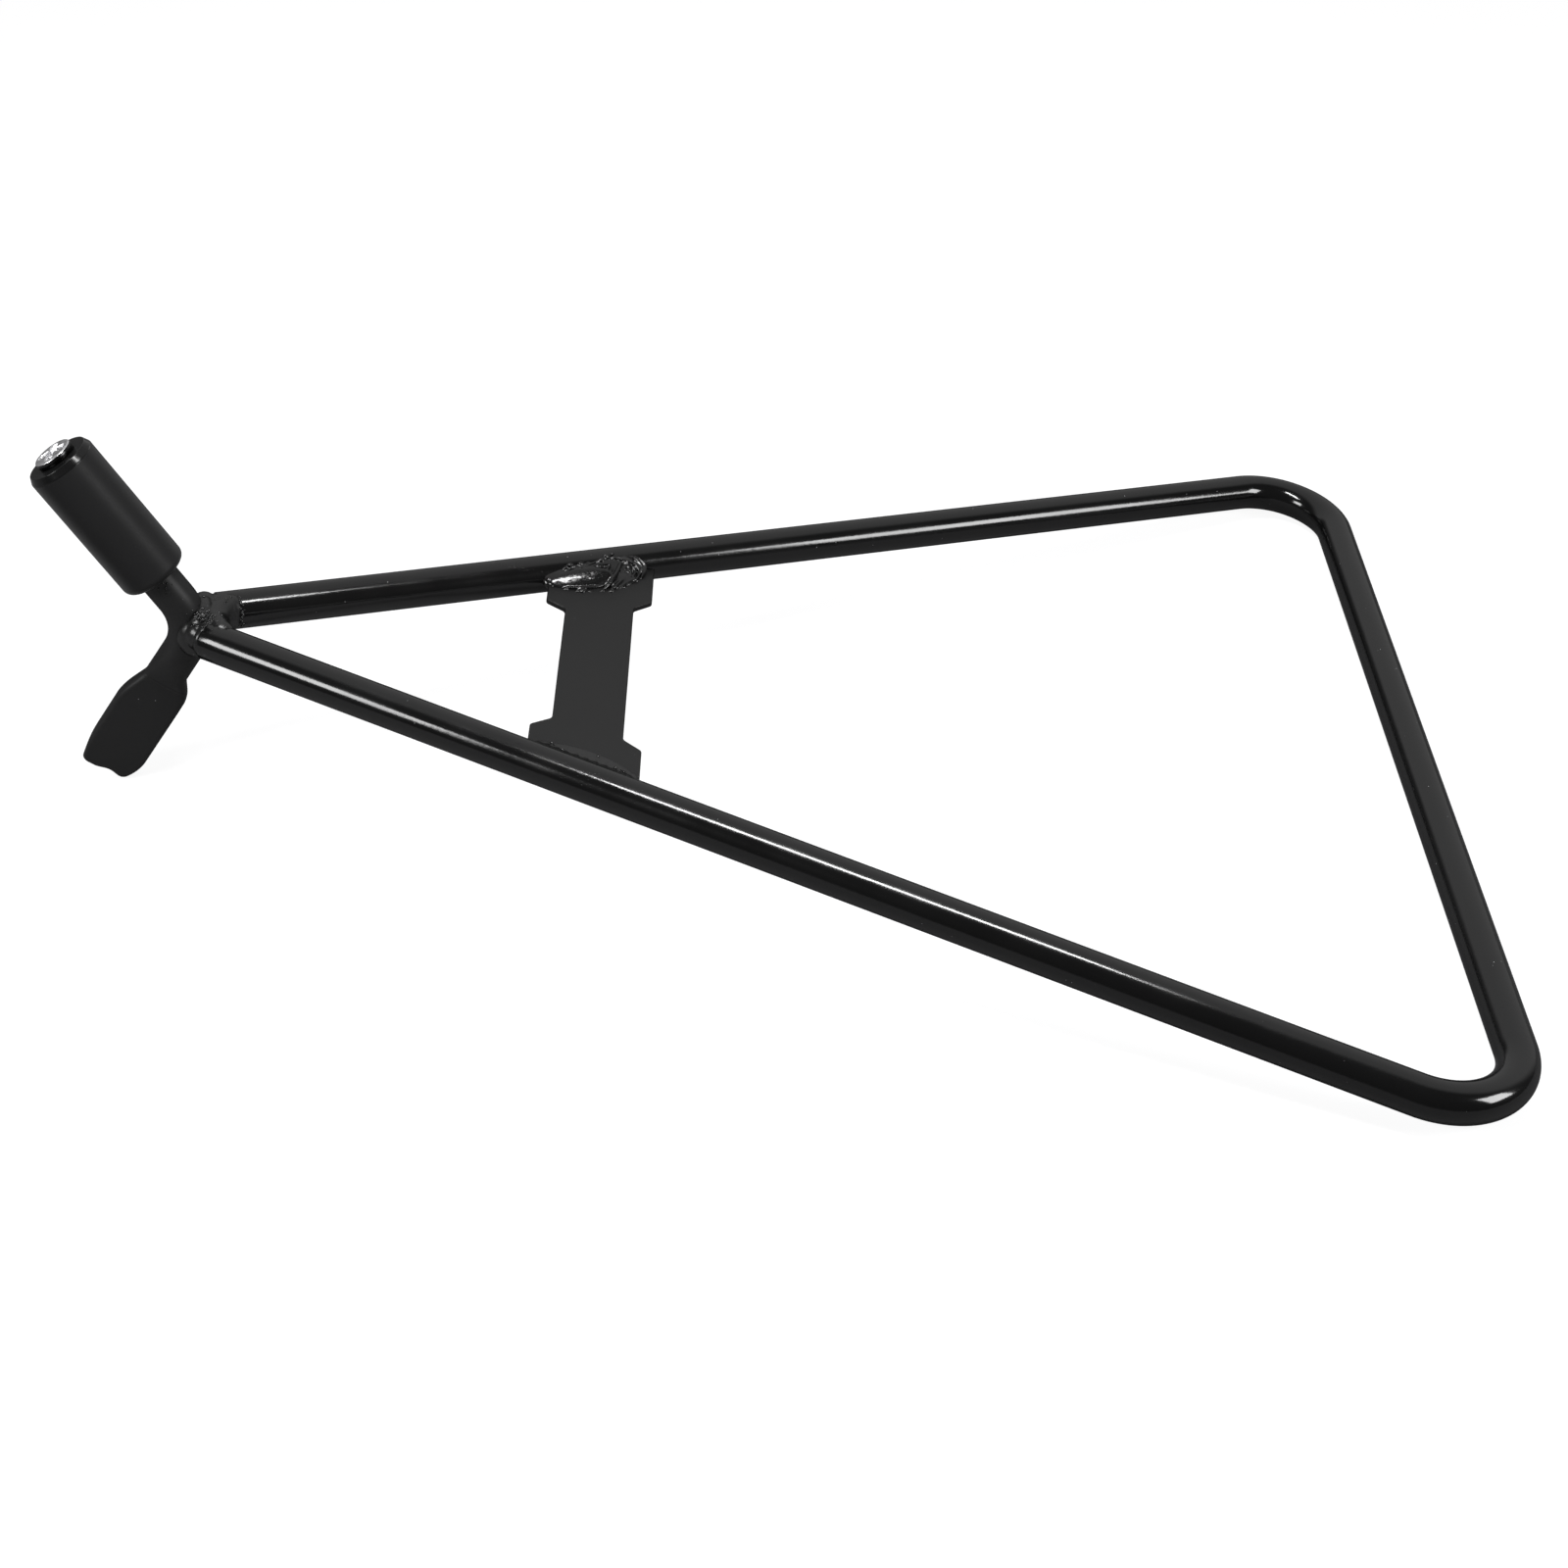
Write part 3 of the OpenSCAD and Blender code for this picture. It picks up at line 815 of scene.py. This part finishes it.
def build_plate_weld_far():
    """The heavy bead between the plate and the far leg: a smooth body with a crust of ridges and beads."""
    along = leg_along(FAR)
    body = far_weld_body()
    shape = bmesh.new()
    shape.from_mesh(body)
    bpy.data.meshes.remove(body)

    def ridge(radius, *spots, ends=0.6):
        """A ridge past spots along the leg, inward of it and above it."""
        add_ridge(shape, [by_leg(FAR, *spot) for spot in spots], radius, ends)

    def bead(s, inward, height, size, thickness):
        """A bead, longer than it is wide."""
        radii = (size * 1.4, size, size * thickness)
        add_blob(shape, by_leg(FAR, s, inward, height), radii, along, detail=2)

    on_rod = ((130.0, 4.9, 0.7), (131.8, 4.3, 0.9), (133.6, 4.8, 0.7), (135.4, 4.3, 0.8),
              (138.0, 4.4, 0.6), (142.6, 4.0, 0.8), (144.4, 2.9, 0.7), (146.8, 2.6, 0.6))
    for s, inward, size in on_rod:
        bead(s, inward, math.sqrt(ROD_R ** 2 - inward ** 2) + 0.9, size, 0.8)
    ridge(0.5, (135.5, 5.8, 4.6), (139.0, 5.0, 5.0), (142.5, 3.8, 5.4), (144.5, 3.2, 5.5),
          (148.0, 4.2, 5.6), (150.5, 5.6, 5.2))
    ridge(0.5, (137.0, 10.6, 3.2), (140.0, 9.4, 3.9), (142.5, 8.8, 4.3), (144.5, 7.0, 5.0))
    ridge(0.6, (129.0, 11.4, 1.5), (134.0, 12.5, 1.2), (139.0, 12.7, 1.2), (142.0, 12.0, 1.6))
    ridge(0.45, (137.0, 6.6, 4.9), (141.0, 6.2, 5.2), (145.0, 6.6, 5.3))
    ridge(0.8, (139.5, 14.6, 0.9), (143.0, 12.6, 2.3), (146.0, 9.6, 3.9), (148.2, 6.6, 4.9))
    ridge(0.7, (141.4, 15.4, 0.8), (145.4, 13.2, 1.7), (148.8, 10.2, 2.6))
    ridge(0.7, (144.6, 15.0, 0.7), (148.4, 12.6, 1.4), (151.4, 11.4, 1.6))
    for out, radius in ((0.0, 0.55), (1.4, 0.4)):
        ridge(radius, (150.8 + out, 2.8 - out / 2, 5.1), (154.0 + out, 3.6, 4.7),
              (156.0 + out, 6.4, 3.1), (155.6 + out / 2, 9.0, 2.0), (154.0, 11.0, 1.1))
    crater_s, crater_inward, crater_height = 150.8, 8.8, 3.1
    for reach in (1.8, 3.2):
        rim = []
        for turn in np.linspace(0, 2 * math.pi, 13):
            rise = -0.5 * reach * math.sin(turn)
            rim.append((crater_s + reach * math.cos(turn), crater_inward + reach * math.sin(turn),
                        crater_height + rise))
        ridge(0.42, *rim, ends=1.0)
    add_blob(shape, by_leg(FAR, crater_s, crater_inward, crater_height), (0.7, 0.7, 0.6), along, detail=2)
    on_plate = ((124.4, 8.0, 0.5), (125.4, 9.2, 0.8), (127.4, 9.9, 0.6), (128.2, 11.4, 0.8),
                (131.4, 13.4, 0.7), (133.0, 13.6, 1.1), (135.4, 14.2, 0.6), (139.4, 14.9, 0.7),
                (142.2, 15.6, 0.9), (147.2, 14.6, 0.5), (152.4, 11.8, 0.6))
    for s, inward, size in on_plate:
        bead(s, inward, 0.9, size, 0.7)
    mesh = melted("plate_weld_far", shape, grain=0.25, smoothing=1, roughness_mm=0.03, seed=1)
    place("plate_weld_far", mesh, "stand", WELD_COAT, ["weld_plate_far"])


def build_plate_weld_near():
    """The flat, faintly rippled bead between the plate and the near leg."""
    along = leg_along(NEAR)
    shape = bmesh.new()
    for s in np.arange(128.0, 158.0, 1.5):
        middle = 1 - ((s - 143) / 15) ** 2
        add_blob(shape, by_leg(NEAR, s, 5.4, 1.3), (2.4, 3.6, 1.9), along, lean=-0.5)
        add_blob(shape, by_leg(NEAR, s, 7.4 + 1.5 * middle, 0.6), (2.6, 2.6 + 2.0 * middle, 0.85), along)
    for s in np.arange(130.0, 157.0, 3.1):
        middle = 1 - ((s - 143) / 15) ** 2
        add_ridge(shape, [by_leg(NEAR, s + 1.8, 5.6, 2.6), by_leg(NEAR, s, 8.0, 0.9),
                          by_leg(NEAR, s - 1.6, 9.0 + 3.0 * middle, 0.7)], 0.8)
    mesh = melted("plate_weld_near", shape, grain=0.28, smoothing=5, roughness_mm=0.04, seed=2)
    place("plate_weld_near", mesh, "stand", SATIN_COAT, ["weld_plate_near"])


def build_apex_bead(side, name, node):
    """The bead that closes the gap between a leg's sawn end and the pin rod."""
    along = leg_along(side)
    shape = bmesh.new()
    add_blob(shape, (13.3, side * 5.2, -1.6), (4.9, 3.7, 6.4))
    add_blob(shape, (14.8, side * 6.9, 0.4), (3.7, 3.5, 4.6), along)
    add_blob(shape, by_leg(side, 18.6, 0.3, -0.2), (2.6, 5.3, 5.4), along)
    mesh = melted(name, shape, grain=0.3, smoothing=6, roughness_mm=0.06, seed=3 + side)
    place(name, mesh, "stand", SATIN_COAT, [node])


def build_apex_web():
    """The weld that fills the crotch between the legs, flush with their tops, and laps the far leg."""
    along = leg_along(FAR)
    shape = bmesh.new()
    for t in np.linspace(-1, 1, 13):
        x = 18.4 + 3.6 * t * t
        add_blob(shape, (x, 0.8 * t * x * math.tan(HALF_APEX), 0.85 - 0.3 * t), (4.8, 4.2, 5.9))
    add_blob(shape, (15.5, 3.0, 1.0), (5.2, 5.5, 6.4))
    add_blob(shape, (14.6, 5.8, 1.6), (4.8, 4.9, 6.0))
    add_blob(shape, (15.4, -3.0, 1.2), (4.6, 5.2, 5.8))
    add_ridge(shape, [(15.4, -4.0, 5.0), (15.5, -1.0, 6.0), (15.2, 2.0, 6.0), (14.4, 5.0, 5.0)], 2.6,
              ends=1.0)
    add_ridge(shape, [(12.4, 3.8, 6.8), (14.2, 5.6, 3.9), (17.0, 7.8, 2.9), (21.5, 10.0, 2.4)], 2.5)
    for s in (18.5, 20.6, 21.9):
        add_blob(shape, by_leg(FAR, s, 0.9, 0.1), (6.0, 6.2, 6.1), along)
    mesh = melted("apex_web", shape, grain=0.3, smoothing=14, roughness_mm=0.04, seed=5)
    place("apex_web", mesh, "stand", SATIN_COAT, ["weld_apex_crotch"])


def build_spatter():
    """Droplets of weld metal stuck round the joints, each on the nearest surface."""
    draw = random.Random(SPATTER_SEED)
    names = ("rod_frame", "pin_and_foot", "waisted_plate", "plate_weld_far", "plate_weld_near",
             "apex_bead_near", "apex_web")
    to_own = REST.inverted()
    points, faces = [], []
    for name in names:
        mesh = bpy.data.objects[name].data
        offset = len(points)
        points += [to_own @ vertex.co for vertex in mesh.vertices]
        faces += [tuple(offset + i for i in face.vertices) for face in mesh.polygons]
    tree = BVHTree.FromPolygons(points, faces)
    shape = bmesh.new()

    def drop(centre, size):
        """A flattened droplet on the surface nearest to the centre."""
        spot, normal, _, _ = tree.find_nearest(Vector(centre))
        x = normal.orthogonal().normalized()
        turn = Matrix((x, normal.cross(x), normal)).transposed().to_4x4()
        matrix = Matrix.Translation(spot) @ turn @ Matrix.Diagonal((size, size, size * 0.75, 1))
        bmesh.ops.create_icosphere(shape, subdivisions=2, radius=1, matrix=matrix)

    def scatter(centre, spread, count, smallest, largest):
        """Droplets of mixed sizes, strewn round a centre."""
        for _ in range(count):
            spot = [c + draw.gauss(0, r) for c, r in zip(centre, spread)]
            drop(spot, draw.uniform(smallest, largest))

    scatter((16.9, -6.2, 6.8), (2.0, 1.9, 0.8), 90, 0.2, 0.42)
    scatter((16.7, -6.0, 6.8), (1.9, 1.8, 0.6), 24, 0.4, 0.66)
    drop((14.1, -0.9, 7.6), 0.75)
    drop((15.6, -2.6, 7.2), 0.7)
    drop((15.0, 3.0, 7.6), 0.5)
    scatter(by_leg(FAR, 22.4, 3.4, 6.5), (0.9, 0.7, 0.3), 6, 0.2, 0.36)
    for turn in np.radians(np.arange(-25, 80, 5)):
        collar = by_leg(FAR, draw.gauss(26.0, 0.35), 6.3 * math.cos(turn), 6.3 * math.sin(turn))
        drop(collar, draw.uniform(0.15, 0.62))
    scatter((4.5, -4.4, 15.0), (0.9, 1.2, 1.2), 10, 0.15, 0.35)
    scatter(by_leg(FAR, 114.0, 2.6, 5.4), (5.0, 0.5, 0.3), 26, 0.12, 0.3)
    for s, inward, size in ((130.3, 10.2, 0.62), (131.2, 9.7, 0.5), (135.2, 7.6, 0.6), (144.8, 11.9, 0.5),
                            (151.8, 9.6, 0.55), (153.4, 9.4, 0.4), (154.6, 9.2, 0.45)):
        drop(by_leg(NEAR, s, inward, 3.0), size)
    for lean, count in ((24, 36), (53, 54)):
        for _ in range(count):
            turn = math.radians(90 + draw.gauss(lean, 6))
            s = draw.gauss(136, 14)
            drop(by_leg(NEAR, s, 6.5 * math.cos(turn), 6.5 * math.sin(turn)), draw.uniform(0.09, 0.2))
    mesh = bpy.data.meshes.new("weld_spatter")
    shape.to_mesh(mesh)
    shape.free()
    place("weld_spatter", mesh, "stand", WELD_COAT)


# ---------------------------------------------------------------- stage

def build_stage():
    """The plain pale floor."""
    floor_mesh = bpy.data.meshes.new("floor")
    reach = 30.0
    corners = [(-reach, -reach, 0), (reach, -reach, 0), (reach, reach, 0), (-reach, reach, 0)]
    floor_mesh.from_pydata(corners, [], [(0, 1, 2, 3)])
    floor_mesh.materials.append(pale_floor())
    floor = bpy.data.objects.new("floor", floor_mesh)
    bpy.context.scene.collection.objects.link(floor)


def add_softbox(name, place_at, target, width, height, radiance):
    """A rectangular light of this radiance, facing the target."""
    lamp = bpy.data.lights.new(name, "AREA")
    lamp.shape = "RECTANGLE"
    lamp.size = width
    lamp.size_y = height
    lamp.energy = radiance * math.pi * width * height
    box = bpy.data.objects.new(name, lamp)
    box.location = place_at
    box.rotation_euler = (Vector(place_at) - Vector(target)).to_track_quat("Z", "Y").to_euler()
    box.visible_camera = False
    bpy.context.scene.collection.objects.link(box)


def bearing(azimuth, elevation):
    """A direction; the azimuth turns from +Y towards +X, in degrees."""
    turn = math.radians(azimuth)
    rise = math.radians(elevation)
    return Vector((math.sin(turn) * math.cos(rise), math.cos(turn) * math.cos(rise), math.sin(rise)))


def build_lights():
    """A strip overhead and a softbox to either side of the camera."""
    below = Vector((-0.02, -0.09, 0.0))
    add_softbox("overhead", below + Vector((0, 0, 0.61)), below, width=0.30, height=0.07, radiance=46)
    left = Vector((-0.12, -0.03, 0.05))
    add_softbox("left", left + 0.95 * bearing(-124, 33), left, width=0.38, height=0.30, radiance=16)
    right = Vector((0.08, 0.115, 0.04))
    add_softbox("right", right + 0.90 * bearing(121.5, 23), right, width=0.32, height=0.30, radiance=15)


def build_room():
    """What the stand mirrors: a dim room, a pale wall behind it and a dark gap low at the back left."""
    world = bpy.data.worlds.new("room")
    bpy.context.scene.world = world
    world.use_nodes = True
    tree = world.node_tree
    direction = tree.nodes.new("ShaderNodeTexCoord").outputs["Generated"]

    def facing(towards, low, high, to_low, to_high):
        """Maps how far a direction points towards a vector to a range."""
        dot = tree.nodes.new("ShaderNodeVectorMath")
        dot.operation = "DOT_PRODUCT"
        tree.links.new(direction, dot.inputs[0])
        dot.inputs[1].default_value = towards
        node = tree.nodes.new("ShaderNodeMapRange")
        node.interpolation_type = "SMOOTHSTEP"
        tree.links.new(dot.outputs["Value"], node.inputs[0])
        for socket, number in zip(node.inputs[1:5], (low, high, to_low, to_high)):
            socket.default_value = number
        return node.outputs[0]

    wall = facing((0.0, 1.0, 0.45), 0.33, 0.66, 0.07, 0.62)
    gap = facing(bearing(-37, 1), math.cos(math.radians(24)), math.cos(math.radians(9)), 1.0, 0.12)
    product = tree.nodes.new("ShaderNodeMath")
    product.operation = "MULTIPLY"
    tree.links.new(wall, product.inputs[0])
    tree.links.new(gap, product.inputs[1])
    seen = tree.nodes.new("ShaderNodeLightPath").outputs["Is Camera Ray"]
    backdrop = tree.nodes.new("ShaderNodeMix")
    tree.links.new(seen, backdrop.inputs["Factor"])
    tree.links.new(product.outputs[0], backdrop.inputs["A"])
    backdrop.inputs["B"].default_value = 0.95
    background = tree.nodes["Background"]
    tree.links.new(backdrop.outputs["Result"], background.inputs["Strength"])
    background.inputs["Color"].default_value = (1, 1, 1, 1)


def build_camera():
    """Looks down on the stand from the open side of its near leg."""
    elevation = math.radians(37.1)
    azimuth = math.radians(-0.246)
    distance = 0.7744
    aim = Vector((0.00798, -0.00588, 0.0))
    back = Vector((math.sin(azimuth) * math.cos(elevation), -math.cos(azimuth) * math.cos(elevation),
                   math.sin(elevation)))
    lens = bpy.data.cameras.new("camera")
    lens.lens = 56.6
    lens.sensor_width = 36
    lens.clip_start = 0.01
    camera = bpy.data.objects.new("camera", lens)
    camera.location = aim + back * distance
    camera.rotation_euler = back.to_track_quat("Z", "Y").to_euler()
    bpy.context.scene.collection.objects.link(camera)
    bpy.context.scene.camera = camera


build_rod_frame()
build_pin_rod()
build_plate()
build_sleeve()
build_screw()
build_plate_weld_far()
build_plate_weld_near()
build_apex_bead(NEAR, "apex_bead_near", "weld_apex_near")
build_apex_bead(FAR, "apex_bead_far", "weld_apex_far")
build_apex_web()
build_spatter()
build_stage()
build_lights()
build_room()
build_camera()
bpy.context.scene.view_settings.view_transform = "Standard"
